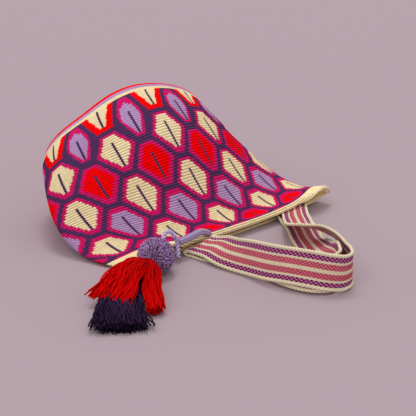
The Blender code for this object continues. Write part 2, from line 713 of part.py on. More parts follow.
def build():
    """Make every piece of the bag."""
    clear_scene()
    bag_body()
    shoulder_strap()
    cord("drawstring", DRAWSTRING_ROUTE, CORD_DIAMETER, 14)
    cord("tassel_loop", ((*on_pompom(LOOP_FROM_POMPOM), 1.0), *LOOP_ROUTE), LOOP_DIAMETER, 20)
    pompom()
    tassel("tassel_red", "tassel_red", RED_BUNCHES, 8)
    tassel("tassel_purple", "tassel_dark", DARK_BUNCHES, 10)


build()
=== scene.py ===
"""Looks of the crocheted bucket bag: yarn, woven strap, cords, pompom and tassels.

Metres. Shapes are made in the part's own frame, and ORIGIN_ON_FLOOR moves them into the row's frame.
The rings of the bag and its pattern are made as in the part. Some values follow the photograph more
closely than the part's: the base's bulge and slack, the mouth's rises, the rounds that are worked,
the strap's stripes and folds, the drawstring's route, and the sizes of loop, pompom and tassels.
"""

import math

import bmesh
import bpy
import numpy as np
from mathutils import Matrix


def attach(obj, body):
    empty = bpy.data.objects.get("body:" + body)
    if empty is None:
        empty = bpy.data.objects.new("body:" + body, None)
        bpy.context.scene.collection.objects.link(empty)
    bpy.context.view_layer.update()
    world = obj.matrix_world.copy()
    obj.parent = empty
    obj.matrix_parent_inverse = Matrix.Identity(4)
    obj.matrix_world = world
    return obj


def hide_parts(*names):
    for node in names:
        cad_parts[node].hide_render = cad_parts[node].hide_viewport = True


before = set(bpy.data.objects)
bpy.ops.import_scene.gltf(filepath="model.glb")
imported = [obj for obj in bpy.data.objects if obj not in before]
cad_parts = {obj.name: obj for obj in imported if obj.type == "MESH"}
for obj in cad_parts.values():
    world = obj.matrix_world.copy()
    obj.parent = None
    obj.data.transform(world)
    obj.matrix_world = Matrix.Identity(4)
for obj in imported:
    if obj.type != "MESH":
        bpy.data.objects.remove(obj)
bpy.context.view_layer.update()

ORIGIN_ON_FLOOR = np.array((-0.006, 0.131, 0.0))

# Camera
CAMERA_AZIMUTH = -40.05
CAMERA_ELEVATION = 21.02
CAMERA_DISTANCE = 1.3
CAMERA_TARGET = np.array((-0.0183, -0.123, 0.05))
CAMERA_LENS = 84.98
SENSOR_WIDTH = 36

# Suns: name, strength, width, tilt about x and turn about y, in degrees
SUNS = (("key", 0.92, 20, -16.8, 13.0), ("fill", 0.60, 50, 15.1, -34.4))
SURROUND_COLOUR = (1, 0.97, 0.98, 1)
SURROUND_STRENGTH = 0.60
FLOOR_REACH = 30
FLOOR_SHINE = 0.1

# Bag shell. Values in a row run evenly from the base to the mouth.
BAG_LENGTH = 0.269
GIRTH = 0.760
FABRIC = 0.0035
LIP_HEIGHT = 0.0182
MOUTH_FOOT = 0.0225  # y of the line that the bag lies on, at the mouth and at the base
BASE_FOOT = 0.2648
TOP_SLOPES = (6.3, 27.9, 59.4, 60.0, -4.2)  # of the line along the bag's top, in degrees
ROUNDNESS = (1.85, 1.71, 2.13)  # powers of the rings' outlines
SPINE_X = (0.0086, -0.0159, 0.0148)
BOW_Y = (0.0022, 0.0278, 0.0168)  # how far each ring's sides lie behind its middle
LEAN_X = (-0.030, 0.042)
ROLL_DEG = (1.6, 0.8)
SAG = 0.006
SLIT = 0.011  # least gap between the upper and the lower layer
BASE_BULGE = 0.010

# Where the mouth's upper lip stands up: how far upwards and outwards, then place and spread
MOUTH_RISES = (
    (0.004, 0.004, (0.095, 0.040)),  # where the strap lifts it
    (0.0175, 0.0, (0.155, 0.040)),  # its open right end
    (0.009, 0.0, (-0.150, 0.040)),  # its left end
)
# Where the upper edge of the base sinks
BASE_SLACK = 0.010
BASE_SLACK_AT = (-0.095, 0.045)

# Rim and lining
RIM_BAND = 0.019
LIP_RADIUS = 0.0040
LEAST_RADIUS = 0.001
LIP_TURN = 3.3
LIP_GAP = 0.003
ROLL_FROM = (-0.150, -0.080)
ROLL_TO = (0.100, 0.140)
LINING_BACK = 0.022
LINING_END = 0.006  # from the base's edge to the lining's last ring on the wall
LINING_ROWS = 24
LINING_SHARES = (0.85, 0.6, 0.3, 0.02)  # of the base, for the lining's rings on it
LINING_ROUNDS = 3.0  # of stitches, from one ring to the next
LINING_SKIP = 4  # the lining has every fourth point of the wall's rings

# Crochet pattern, in rounds along the bag and stitches around it
COLUMNS = 10
COLUMN_PITCH = 0.0814
STITCHES = 24
ROUND = 0.00307
FIRST_ROUND = 0.0194
RIM_ROUND = 93
RIM_ROUNDS = 5
WORKED_ROUNDS = 70  # rounds of stitches between the pattern's first round and the rim
ROUND_STEP = RIM_ROUND / WORKED_ROUNDS  # rounds of the pattern in each of them
GATHER_ROUND = 55
ROW_ROUNDS = 12
ROW_START = 7.5  # how far the first row of leaves starts before the first round
LAST_ROW = 7  # of leaves; only the borders of the next one show
DRIFT = (0.0163, -0.1063, -0.0032, -0.0068)  # of the columns: at the base, per metre, and two bends
# Outlines of leaf and border, as heights in rounds with half widths in stitches, then the rib's ends and
# the border's colour: the usual ones, and those of rows that differ
MOTIF = (((4, 2.2), (11.5, 6.4), (21, 0.9)), ((1.5, 2.6), (12, 8.1), (22.7, 2.0)), (8.3, 20.6), "magenta")
OWN_MOTIFS = {
    0: (((7.5, 5.3), (20.9, 1.3)), ((7.5, 7.8), (22.8, 3.9)), (8.5, 20.0), "red"),
    1: (((1.3, 0.4), (3.9, 2.7), (6.5, 3.5), (11.8, 4.0), (17.1, 2.2), (20.8, 0.6)),
        ((-3.7, 1.8), (1.3, 3.4), (6.5, 4.8), (11.8, 5.3), (22.5, 1.5)), (8.9, 20.7), "magenta"),
    LAST_ROW: (((4, 2.4), (9.5, 6.0), (13, 3.9)), ((1.5, 2.8), (9.8, 7.9), (15, 5.1)),
               (8.3, 13.0), "magenta"),
}
RIB_HALF = 0.5
RIB_MORE = 1  # round at each end of a rib
LEAF_COLOURS = ("cream", "lilac", "cream", "red")
BASE_BANDS = (("cream", 2), ("lilac", 3), ("red", 4), ("plum", 5), ("cream", 5),
              ("magenta", 5), ("plum", 6), ("lilac", 7), ("red", 7), ("cream", 99))
YARNS = ("cream", "lilac", "red", "magenta", "plum")

# Relief of the crochet
YARN_GAIN = 1.12  # makes up for the shade in the grooves between the stitches
ROUND_RELIEF = 0.0012
RIM_RELIEF = 0.0018
STITCH_RELIEF = 0.00035
STITCH_LEAN = 0.50  # of a stitch, over one round
ROUND_POWER = 0.6  # the lower, the fuller a round between its grooves
MEAN_RELIEF = 0.75  # of a round's relief lies below the shell's surface
FLAT_BELOW = -0.7  # stitches have no relief of their own at the bottom of a groove
SPLIT_ROUND = 32  # the wall is two pieces, parted in the groove below this round
ROWS_PER_ROUND = 4
ROWS_PER_RIM_ROUND = 5
ROWS_PER_BASE_ROUND = 3
HEM_ROUNDS = (0.5, 1, 4)  # beyond the rim's last round: its turned edge, the lining's edge and its inside
HEM_SWELL = 0.9
FLOOR_GAP = 0.0002

# Strap
STRAP_WIDTH = 0.046
STRAP_THICKNESS = 0.0025
SEAM_GAP = 0.0004
UPPER_SEAM = (0.078, 0.118)
LOWER_SEAM = (0.238, 0.282)
SEAM_DEPTH = 0.012
SEAM_POINTS = 7
STRIPES = (("rope", 0.10), ("violet", 0.13), ("weave", 0.06), ("crimson", 0.16), ("weave", 0.10),
           ("crimson", 0.16), ("weave", 0.06), ("violet", 0.13), ("rope", 0.10))
STRAP_STEPS = 1100
ROPE_PITCH = 0.0042
ROPE_RADIUS = 0.0019
ROPE_SWELL = 0.22
ROPE_SHIFT = 0.3  # of a twist, from one selvedge to the other
ROPE_PARTS = 5  # strips of the mesh across a selvedge, and across any other stripe
STRIPE_PARTS = 3
BAND_SHARE = 0.78  # of the strap's thickness, in the band between the selvedges
STRIPE_SWELL = 0.0003  # of each stripe over its borders
BORDER_SHARE = 0.01
STRAP_FLOOR_GAP = 0.0001
WARP_MM = 0.95
WEFT_MM = 1.2
ROPE_LEAN_MM = 5.0
# Pitch of the dashes along and across and where their rows start, in millimetres, then the share of the
# pitch that a dash fills along the strap, and how far it reaches across on each side of its middle
WEAVES = {"check": (5.8, 1.993, 4.6, 0.5, 0.5), "dash": (5.0, 1.84, 13.34, 0.55, 0.22)}

# Cords
CORD_DIAMETER = 0.0095
CORD_STEPS = 260
CORD_SIDES = 50
CORD_COLUMNS = 6
CORD_PITCH = 0.0038
CORD_HOLLOW = 0.22  # of the radius, between the stitches
LOOP_DIAMETER = 0.0060
LOOP_STEPS = 160
PLY_PITCH = 0.011
PLY_HOLLOW = 0.44  # of the radius, between the plies

# Pompom and loose yarn. The shares run along a yarn from its root to its tip.
STRAND_SPAN = 16.0  # of u, from one loose strand to the next
STRAND_TWISTS = 8
POMPOM_RADIUS = 0.0225
POMPOM_REACH = 0.0238  # of the longest yarns
POMPOM_CENTRE = np.array((-0.135, -0.023, 0.0225))
POMPOM_TIE = np.array((-0.600, -0.715, 0.359))  # axis through the knot that gathers the yarns
POMPOM_SWELL = 0.03
POMPOM_YARNS = 3400
POMPOM_SCATTER = 0.07
POMPOM_BEND = 0.16
POMPOM_LENGTHS = (0.93, 0.08)  # least share of the reach, and what chance adds
POMPOM_TURNED = (0.0, 0.30, 0.55, 0.75, 0.90, 1.0)  # share of the turn from the knot's axis outwards
POMPOM_OUT = (0.55, 0.80, 0.895, 0.945, 0.98, 1.0)  # distance from the centre, of the yarn's reach
POMPOM_RADII = (0.0004, 0.0006, 0.0007, 0.00065, 0.0005, 0.0003)
TOUCH_GAP = 0.0003

# Tassels
TIE_DEPTH = 0.002
RED_STRAND_RADIUS = 0.00095
DARK_STRAND_RADIUS = 0.0009
FILL_WIDE = 0.92  # share of a bunch's width and height that its strands' roots fill
FILL_TALL = 0.90
STRAND_WAVES = ((0.22, 5), (0.08, 13))  # size and rate of each sideways wave
STRAND_DRIFT = 0.20
STRAND_LIFT = (0.16, 6)
LIFT_SCATTER = 0.1
WAVE_STARTS = 6.3
WAVES_FROM = (0.05, 0.5)  # the waves grow over this stretch of a strand
STRAND_LENGTHS = (0.80, 0.20)  # least share of the route, and what chance adds

YARN_SHINE = 0.02
COLOURS = {
    "cream": (0.78, 0.65, 0.385),
    "lilac": (0.42, 0.265, 0.47),
    "red": (0.86, 0.001, 0.002),
    "magenta": (0.61, 0.010, 0.130),
    "plum": (0.084, 0.031, 0.102),
    "crimson": (0.60, 0.040, 0.095),
    "violet": (0.030, 0.004, 0.030),
    "pink": (0.80, 0.19, 0.46),
    "dash": (0.82, 0.44, 0.47),
    "strap_cream": (0.88, 0.77, 0.53),
    "pompom": (0.22, 0.105, 0.31),
    "pompom_tip": (0.53, 0.32, 0.61),
    "cord": (0.36, 0.29, 0.47),
    "tassel_red": (0.60, 0.001, 0.001),
    "tassel_dark": (0.032, 0.016, 0.045),
    "floor": (0.46, 0.36, 0.40),
}


def unit(vectors):
    """Scale each vector to length 1."""
    return vectors / np.maximum(np.linalg.norm(vectors, axis=-1, keepdims=True), 1e-12)


def curve_through(values, t):
    """Value at t of the polynomial through evenly spaced values."""
    stops = np.linspace(0, 1, len(values))
    return np.polyval(np.polyfit(stops, values, len(values) - 1), t)


def smooth_step(x, low, high):
    """Rise smoothly from 0 at low to 1 at high."""
    t = np.clip((x - low) / (high - low), 0, 1)
    return t * t * (3 - 2 * t)


def bump(x, at):
    """A smooth rise to 1 at a place, with its spread."""
    place, spread = at
    return np.exp(-(((x - place) / spread) ** 2))


def keep_up(points, least=FLOOR_GAP):
    """Points, with none lower than the least height."""
    points[..., 2] = np.maximum(points[..., 2], least)
    return points


def run_length(points):
    """Distance along a path at each of its points."""
    return np.concatenate([[0], np.cumsum(np.linalg.norm(np.diff(points, axis=0), axis=1))])


def smooth_path(points, count):
    """Points spaced evenly along a smooth curve through the given points."""
    points = np.array(points, float)
    knots = run_length(points[:, :3])
    slopes = np.gradient(points, knots, axis=0)
    at = np.linspace(0, knots[-1], count)
    piece = np.clip(np.searchsorted(knots, at, side="right") - 1, 0, len(knots) - 2)
    span = (knots[piece + 1] - knots[piece])[:, None]
    t = ((at - knots[piece])[:, None]) / span
    start, end = points[piece], points[piece + 1]
    begin, finish = slopes[piece] * span, slopes[piece + 1] * span
    return (start * (2 * t**3 - 3 * t**2 + 1) + begin * (t**3 - 2 * t**2 + t)
            + end * (3 * t**2 - 2 * t**3) + finish * (t**3 - t**2))


# Camera, light and floor

def add_object(name, data):
    """Put new data in the scene as an object."""
    thing = bpy.data.objects.new(name, data)
    bpy.context.scene.collection.objects.link(thing)
    return thing


def add_camera():
    """The camera at the photograph's place."""
    turn, rise = math.radians(CAMERA_AZIMUTH), math.radians(CAMERA_ELEVATION)
    back = np.array((math.sin(turn) * math.cos(rise), -math.cos(turn) * math.cos(rise), math.sin(rise)))
    data = bpy.data.cameras.new("camera")
    data.lens = CAMERA_LENS
    data.sensor_width = SENSOR_WIDTH
    camera = add_object("camera", data)
    camera.location = CAMERA_TARGET + back * CAMERA_DISTANCE
    camera.rotation_euler = (math.pi / 2 - rise, 0, turn)
    bpy.context.scene.camera = camera


def add_lights():
    """A soft light from above and behind, a wider fill from the front, and an even pale surround."""
    scene = bpy.context.scene
    scene.view_settings.view_transform = "Standard"
    world = bpy.data.worlds.new("surround")
    world.use_nodes = True
    background = world.node_tree.nodes["Background"]
    background.inputs["Color"].default_value = SURROUND_COLOUR
    background.inputs["Strength"].default_value = SURROUND_STRENGTH
    scene.world = world
    for name, strength, width, tilt, turn in SUNS:
        sun = bpy.data.lights.new(name, "SUN")
        sun.energy = strength
        sun.angle = math.radians(width)
        lamp = add_object(name, sun)
        lamp.rotation_euler = (math.radians(tilt), math.radians(turn), 0)


def add_floor():
    """The plain floor under the bag."""
    mesh = bpy.data.meshes.new("floor")
    corners = ((-1, -1), (1, -1), (1, 1), (-1, 1))
    mesh.from_pydata([(x * FLOOR_REACH, y * FLOOR_REACH, 0) for x, y in corners], [], [(0, 1, 2, 3)])
    floor = add_object("floor", mesh)
    n = Nodes("floor")
    for socket, value in (("Base Color", shade("floor", 1.0)), ("Roughness", 0.9),
                          ("Specular IOR Level", FLOOR_SHINE)):
        n.put(n.shader.inputs[socket], value)
    mesh.materials.append(n.material)


# Materials

class Nodes:
    """Short calls for building a material's nodes."""

    def __init__(self, name):
        self.material = bpy.data.materials.new(name)
        self.material.use_nodes = True
        self.tree = self.material.node_tree
        self.shader = self.tree.nodes["Principled BSDF"]

    def node(self, kind, **settings):
        """Add a node and set its properties."""
        made = self.tree.nodes.new(kind)
        for key, value in settings.items():
            setattr(made, key, value)
        return made

    def put(self, socket, value):
        """Link a socket to a value's socket, or set it."""
        if isinstance(value, bpy.types.NodeSocket):
            self.tree.links.new(value, socket)
        else:
            socket.default_value = value

    def math(self, operation, a, b=0.0, clamp=False):
        """One Math node."""
        made = self.node("ShaderNodeMath", operation=operation, use_clamp=clamp)
        self.put(made.inputs[0], a)
        self.put(made.inputs[1], b)
        return made.outputs[0]

    def times(self, a, b):
        """The product of two values."""
        return self.math("MULTIPLY", a, b)

    def mix(self, share, a, b, blend="MIX"):
        """Mix two colours."""
        made = self.node("ShaderNodeMix", data_type="RGBA", blend_type=blend)
        self.put(made.inputs[0], share)
        self.put(made.inputs[6], a)
        self.put(made.inputs[7], b)
        return made.outputs[2]

    def plus(self, base, value, rise):
        """The base plus the value times the rise."""
        return self.math("ADD", base, self.times(value, rise))

    def toned(self, tone, *layers):
        """A tone multiplied by each layer's base, value and rise."""
        for base, value, rise in layers:
            tone = self.times(tone, self.plus(base, value, rise))
        return tone

    def ripple(self, value, pitch=1.0):
        """Rise from 0 to 1 and fall back, once in each pitch of the value."""
        return self.math("ABSOLUTE", self.math("SINE", self.times(value, math.pi / pitch)))

    def uv(self):
        """The two parts of the surface's own coordinates."""
        parts = self.node("ShaderNodeSeparateXYZ")
        self.put(parts.inputs[0], self.node("ShaderNodeTexCoord").outputs["UV"])
        return parts.outputs[0], parts.outputs[1]

    def noise(self, scale, detail=2.0):
        """Noise around 0.5."""
        made = self.node("ShaderNodeTexNoise")
        made.inputs["Scale"].default_value = scale
        made.inputs["Detail"].default_value = detail
        self.put(made.inputs["Vector"], self.node("ShaderNodeTexCoord").outputs["Object"])
        return made.outputs[0]

    def cell(self, u, v):
        """A random number for each whole step of u and v."""
        together = self.node("ShaderNodeCombineXYZ")
        self.put(together.inputs[0], self.math("FLOOR", u))
        self.put(together.inputs[1], self.math("FLOOR", v))
        made = self.node("ShaderNodeTexWhiteNoise")
        self.put(made.inputs[0], together.outputs[0])
        return made.outputs[0]

    def finish(self, colour, tone, height, depth, roughness=0.9):
        """Join the colour, multiplied by a grey tone, and the height to the shader."""
        grey = self.node("ShaderNodeCombineColor")
        for i in range(3):
            self.put(grey.inputs[i], tone)
        self.put(self.shader.inputs["Base Color"], self.mix(1.0, colour, grey.outputs[0], "MULTIPLY"))
        raised = self.node("ShaderNodeBump")
        raised.inputs["Strength"].default_value = 1.0
        raised.inputs["Distance"].default_value = depth
        self.put(raised.inputs["Height"], height)
        self.put(self.shader.inputs["Normal"], raised.outputs[0])
        self.shader.inputs["Roughness"].default_value = roughness
        self.shader.inputs["Specular IOR Level"].default_value = YARN_SHINE
        return self.material


def shade(colour, factor):
    """A colour made darker or lighter, with alpha."""
    return (*[min(1.0, part * factor) for part in COLOURS[colour]], 1)


def crochet(name, colour, groove_shade=0.58, gain=YARN_GAIN):
    """Yarn worked in single crochet: u counts stitches and v counts rounds. Its tone paints shade into the
    grooves between rounds, the sides of each stitch and the gaps between plies.
    """
    n = Nodes(name)
    u, v = n.uv()
    part = n.math("FRACT", v)
    ridge = n.math("POWER", n.math("SINE", n.times(part, math.pi)), ROUND_POWER, clamp=True)
    arm = n.times(n.math("PINGPONG", u, 0.5), 2.0)
    plump = n.math("POWER", arm, 0.5, clamp=True)
    ply = n.ripple(n.plus(n.times(u, 3.0), part, 1.5))
    height = n.plus(n.times(ridge, 0.55), plump, 0.35)
    height = n.plus(n.plus(height, ply, 0.12), n.noise(1600, 3), 0.12)
    # painted shade: the tone is darkest in the grooves between rounds, and darker at the sides of each stitch
    # and between the plies; the cell and noise tones differ at random
    tone = n.toned(n.plus(groove_shade, ridge, 1.04 - groove_shade), (0.88, plump, 0.16), (0.93, ply, 0.09),
                   (1.03, n.cell(u, v), 0.16), (0.99, n.noise(26), 0.20))
    return n.finish(shade(colour, gain), tone, height, 0.0007)


def woven(name, colour, second=None, layout="plain"):
    """Woven cotton of the strap: u and v are millimetres along and across it."""
    n = Nodes(name)
    u, v = n.uv()
    inward = n.math("PINGPONG", v, STRAP_WIDTH * 1000 / 2)
    warp = n.ripple(v, WARP_MM)
    weft = n.ripple(u, WEFT_MM)
    height = n.plus(n.times(warp, 0.5), weft, 0.5)
    # painted shade: darker in the hollows between the warp and the weft threads
    tone = n.plus(0.80, height, 0.24)
    mixed = shade(colour, 1.0)
    if layout == "rope":
        turn = n.math("ADD", n.math("DIVIDE", u, ROPE_PITCH * 1000), n.math("DIVIDE", inward, ROPE_LEAN_MM))
        twist = n.ripple(turn)
        # painted shade in the grooves between the rope's twists
        tone = n.plus(0.60, n.math("POWER", twist, 0.5), 0.46)
        height = n.plus(twist, height, 0.2)
    elif layout != "plain":
        length, width, start, share, wide = WEAVES[layout]
        row = n.math("DIVIDE", n.math("SUBTRACT", inward, start), width)
        shift = n.times(n.math("MODULO", n.math("FLOOR", row), 2.0), 0.5)
        along = n.math("FRACT", n.math("ADD", n.math("DIVIDE", u, length), shift))
        off = n.math("ABSOLUTE", n.math("SUBTRACT", n.math("FRACT", row), 0.5))
        dash = n.times(n.math("LESS_THAN", along, share), n.math("LESS_THAN", off, wide))
        mixed = n.mix(dash, mixed, shade(second, 1.0))
        height = n.plus(height, dash, 0.5)
    height = n.plus(height, n.noise(1800), 0.2)
    return n.finish(mixed, n.toned(tone, (0.93, n.noise(60), 0.16)), height, 0.0004)


def strand(name, root, tip, power=1.0, roughness=0.85, plies=0.0, uneven=0.3):
    """Loose yarn: v runs from the root at 0 to the tip at 1, u round and along the twist."""
    n = Nodes(name)
    u, v = n.uv()
    mixed = n.mix(n.math("POWER", v, power, clamp=True), root, tip)
    twist = n.ripple(u)
    own = n.cell(n.math("DIVIDE", u, STRAND_SPAN), 0.0)
    # painted shade between the plies of the twist; the noise and each strand's own tone differ at random
    tone = n.toned(n.plus(0.84, n.noise(160), 0.36), (1.0 - uneven / 2, own, uneven),
                   (1.0 - plies, twist, plies))
    height = n.plus(n.times(n.noise(2500), 0.4), twist, 0.6)
    return n.finish(mixed, tone, height, 0.0003, roughness)


def cord_yarn(name, colour, plies=False):
    """Cord yarn. u is the share of a turn and v the length in millimetres; the hollows are darkened with
    painted shade.
    """
    n = Nodes(name)
    u, v = n.uv()
    if plies:
        turn = n.math("SUBTRACT", u, n.math("DIVIDE", v, PLY_PITCH * 1000))
        full = n.math("ABSOLUTE", n.math("COSINE", n.times(turn, 2 * math.pi)))
    else:
        column = n.math("FRACT", n.times(u, CORD_COLUMNS))
        arm = n.math("ABSOLUTE", n.math("SUBTRACT", n.times(column, 2.0), 1.0))
        stitch = n.ripple(n.plus(n.math("DIVIDE", v, CORD_PITCH * 1000), arm, 0.5))
        middle = n.math("POWER", n.math("SINE", n.times(column, math.pi)), 0.4)
        full = n.times(stitch, middle)
    # painted shade: darker in the hollows between the stitches of the drawstring and between the plies of the
    # loop
    tone = n.plus(0.42, n.math("POWER", full, 0.7, clamp=True), 0.70)
    tone = n.toned(tone, (0.86, n.noise(300), 0.3))
    return n.finish(colour, tone, n.plus(full, n.noise(1500), 0.4), 0.0004)


# Meshes

def smooth_mesh(name, points, faces, corners, materials, tones=None):
    """A smooth mesh of four-sided faces. corners has the surface coordinates of each face's corners."""
    mesh = bpy.data.meshes.new(name)
    mesh.vertices.add(points.size // 3)
    mesh.vertices.foreach_set("co", points.reshape(-1).astype(np.float32))
    mesh.loops.add(len(faces) * 4)
    mesh.loops.foreach_set("vertex_index", faces.reshape(-1).astype(np.int32))
    mesh.polygons.add(len(faces))
    mesh.polygons.foreach_set("loop_start", np.arange(0, len(faces) * 4, 4, dtype=np.int32))
    mesh.polygons.foreach_set("use_smooth", np.ones(len(faces), bool))
    for material in materials:
        mesh.materials.append(material)
    if tones is not None:
        mesh.polygons.foreach_set("material_index", tones.reshape(-1).astype(np.int32))
    mesh.uv_layers.new(name="uv").data.foreach_set("uv", corners.reshape(-1).astype(np.float32))
    mesh.update()
    mesh.validate()
    return mesh


def grid(name, points, uvs, materials, replaces, tones=None, weld=False):
    """A smooth surface through closed rows of points; with weld, points that meet are joined.

    uvs has one more column than points, because the rows close.
    """
    rows, columns = points.shape[:2]
    index = np.arange(rows * columns).reshape(rows, columns)
    near = index[:-1]
    right = np.roll(index, -1, axis=1)
    faces = np.stack([near, index[1:], right[1:], right[:-1]], -1).reshape(-1, 4)
    corners = np.stack([uvs[:-1, :-1], uvs[1:, :-1], uvs[1:, 1:], uvs[:-1, 1:]], 2)
    mesh = smooth_mesh(name, points, faces, corners, materials, tones)
    if weld:
        shell = bmesh.new()
        shell.from_mesh(mesh)
        bmesh.ops.remove_doubles(shell, verts=shell.verts, dist=1e-6)
        shell.to_mesh(mesh)
        shell.free()
    return place_piece(name, mesh, replaces)


def surface(u, v):
    """Surface coordinates for a grid, from its u and v."""
    return np.stack(np.broadcast_arrays(u, v), -1)


def place_piece(name, mesh, replaces):
    """Put a mesh in the scene as a piece of the bag."""
    thing = add_object(name, mesh)
    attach(thing, "root")
    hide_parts(*replaces)
    return thing


# Shape of the bag

LINE_POINTS = 200
LINE_V = np.linspace(0, BAG_LENGTH, LINE_POINTS + 1)
OUTLINE_POINTS = 121
HALF_WIDTHS = (0.02, 0.4)  # a ring's half width is sought between these, by halvings
HALVINGS = 30
CAP_POWER = 2.6  # the higher, the flatter the base
FOLD_RUN = 0.008  # steps that give the directions of the shell at its fold
FOLD_SIDE = 0.002


def run_back(values):
    """Distance still to go to the mouth, for a rate given at each point of the top line."""
    steps = (values[1:] + values[:-1]) / 2 * BAG_LENGTH / LINE_POINTS
    gone = np.concatenate([[0], np.cumsum(steps)])
    return gone[-1] - gone


LINE_SLOPE = np.radians(curve_through(TOP_SLOPES, LINE_V / BAG_LENGTH))
LINE_Z = LIP_HEIGHT + run_back(np.sin(LINE_SLOPE))
LINE_Y = run_back(np.cos(LINE_SLOPE))


def section(t, tall):
    """Half of one ring: distance round it, distance from its middle, share of its height, half width."""
    turn = np.linspace(0, math.pi, OUTLINE_POINTS)
    power = 2 / curve_through(ROUNDNESS, t)
    across = np.abs(np.sin(turn)) ** power
    up = np.sign(np.cos(turn)) * np.abs(np.cos(turn)) ** power * tall / 2
    narrow, wide = HALF_WIDTHS
    for _ in range(HALVINGS):
        half = (narrow + wide) / 2
        if np.hypot(np.diff(half * across), np.diff(up)).sum() > GIRTH / 2:
            wide = half
        else:
            narrow = half
    run = np.concatenate([[0], np.cumsum(np.hypot(np.diff(half * across), np.diff(up)))])
    return run, half * across, up / tall + 0.5, half


def from_top(around):
    """Place around the bag, counted both ways from the middle of its top."""
    return (np.asarray(around, float) + GIRTH / 2) % GIRTH - GIRTH / 2


def ring(v, around, inset=0.0):
    """Points of the shell at distance v from the base edge and places around it."""
    t = v / BAG_LENGTH
    top_y, top_z = np.interp(v, LINE_V, LINE_Y), np.interp(v, LINE_V, LINE_Z)
    foot_y = MOUTH_FOOT * t + BASE_FOOT * (1 - t)
    tall = math.hypot(top_z, top_y - foot_y)
    run, widths, shares, half = section(t, tall)
    place = from_top(around)
    across = np.sign(place) * np.interp(np.abs(place), run, widths)
    share = np.interp(np.abs(place), run, shares)
    bow = (across / half) ** 2
    least = inset + share * (SLIT - 2 * inset)
    across = across * (half - inset) / half
    share = (inset + share * (tall - 2 * inset)) / tall
    slack = (1 - t) ** 3 * share * bump(across, BASE_SLACK_AT)
    roll = math.radians(ROLL_DEG[0] * (1 - t) + ROLL_DEG[1] * t)
    lean = LEAN_X[0] * (1 - t) + LEAN_X[1] * t
    x = curve_through(SPINE_X, t) + across + lean * (share - 0.5)
    y = top_y * share + foot_y * (1 - share) + curve_through(BOW_Y, t) * bow
    z = top_z * share - SAG * (1 - share) + math.tan(roll) * across * np.clip(1.5 * share, 0, 1)
    for upwards, outwards, at in MOUTH_RISES:
        lift = t**6 * share * bump(across, at)
        y = y - outwards * lift
        z = z + upwards * lift
    return np.stack([x, y, np.maximum(z - BASE_SLACK * slack, least)], -1)


def round_distance(count):
    """Distance from the base edge to a round of stitches."""
    free = FIRST_ROUND + ROUND * RIM_ROUND - BAG_LENGTH
    gather = np.maximum(count - GATHER_ROUND, 0) / (RIM_ROUND - GATHER_ROUND)
    return FIRST_ROUND + ROUND * count - free * gather**2


def column_place(column, v):
    """Place around the bag of a pattern column, at distance v from the base edge."""
    t = v / BAG_LENGTH
    widening = (COLUMNS * COLUMN_PITCH - GIRTH) / (2 * math.pi)
    drift = DRIFT[0] + DRIFT[1] * v + DRIFT[2] * 4 * t * (1 - t) + DRIFT[3] * 10 * t * (1 - t) * (1 - 2 * t)
    share = column / COLUMNS
    return GIRTH * share + widening * np.sin(2 * math.pi * share) + drift


def roll_share(around):
    """1 where the rim is rolled under, along the middle of the upper lip, and 0 where it is straight."""
    place = from_top(around)
    return smooth_step(place, *ROLL_FROM) * (1 - smooth_step(place, *ROLL_TO))


def rim_rows(around, steps):
    """Rows of the rim band beyond its fold, and the lining's edge behind the last of them."""
    fold = ring(BAG_LENGTH, around)
    forward = unit(fold - ring(BAG_LENGTH - FOLD_RUN, around))
    along = ring(BAG_LENGTH, around + FOLD_SIDE) - ring(BAG_LENGTH, around - FOLD_SIDE)
    outward = unit(np.cross(forward, along))
    rolled = roll_share(around)
    rows = []
    step = RIM_BAND / steps
    radius = np.clip((fold[:, 2] - FABRIC - LIP_GAP) / 2, LEAST_RADIUS, LIP_RADIUS)
    for i in range(steps):
        reach = (i + 0.5) * step - RIM_BAND * (1 - rolled)
        turn = np.clip(reach / radius, 0, LIP_TURN)[:, None]
        fold = keep_up(fold + step * (forward * np.cos(turn) - outward * np.sin(turn)), 0)
        rows.append(fold)
    edge = fold - FABRIC * (outward * np.cos(turn) + forward * np.sin(turn))
    return rows, keep_up(edge, FABRIC)


def base_cap(edge, share, depth):
    """Points of the bulging base at a share of the way from its centre to its edge."""
    edge_top, edge_foot = ring(0, [0.0])[0], ring(0, [GIRTH / 2])[0]
    centre = (edge_top + edge_foot) / 2
    out = unit(np.cross(edge_top - edge_foot, (1.0, 0, 0)))
    bulge = depth * (1 - share**CAP_POWER) ** (1 / CAP_POWER)
    return keep_up(centre + (edge - centre) * share + out * bulge, 0)


def half_width(outline, height):
    """Half width in stitches of an outline at a height in rounds, or -1 beyond its ends."""
    heights, widths = zip(*outline)
    return np.interp(height, heights, widths) if heights[0] <= height <= heights[-1] else -1


def pattern_colour(count, column):
    """Colour of the crochet at a round and a column."""
    if count < 0:
        depth = -count
        for colour, width in BASE_BANDS:
            if depth < width:
                return colour
            depth -= width
    if count >= RIM_ROUND:
        return "cream"
    for row in range(LAST_ROW + 2):
        height = count - (ROW_ROUNDS * row - ROW_START)
        middle = round(column - 0.5 * (row % 2)) + 0.5 * (row % 2)
        off = abs(column - middle) * STITCHES
        leaf, border, rib, edge = OWN_MOTIFS.get(row, MOTIF)
        if row <= LAST_ROW and off < half_width(leaf, height):
            on_rib = off < RIB_HALF and rib[0] - RIB_MORE < height < rib[1] + RIB_MORE
            return "plum" if on_rib else LEAF_COLOURS[row % len(LEAF_COLOURS)]
        if off < half_width(border, height):
            return edge
    return "plum"


MESH_COLUMNS = 2 * COLUMNS * STITCHES  # two for each stitch
LINE_COLUMNS = np.arange(MESH_COLUMNS) / (2 * STITCHES) - COLUMNS / 2
LINE_STITCHES = np.arange(MESH_COLUMNS + 1)[None, :] / 2


def stitch_tones(rounds):
    """Index of the yarn of each half stitch, for whole rounds."""
    columns = (np.arange(MESH_COLUMNS) + 0.5) / (2 * STITCHES) - COLUMNS / 2
    return np.array([[YARNS.index(pattern_colour((count + 0.5) * ROUND_STEP, column)) for column in columns]
                     for count in rounds])


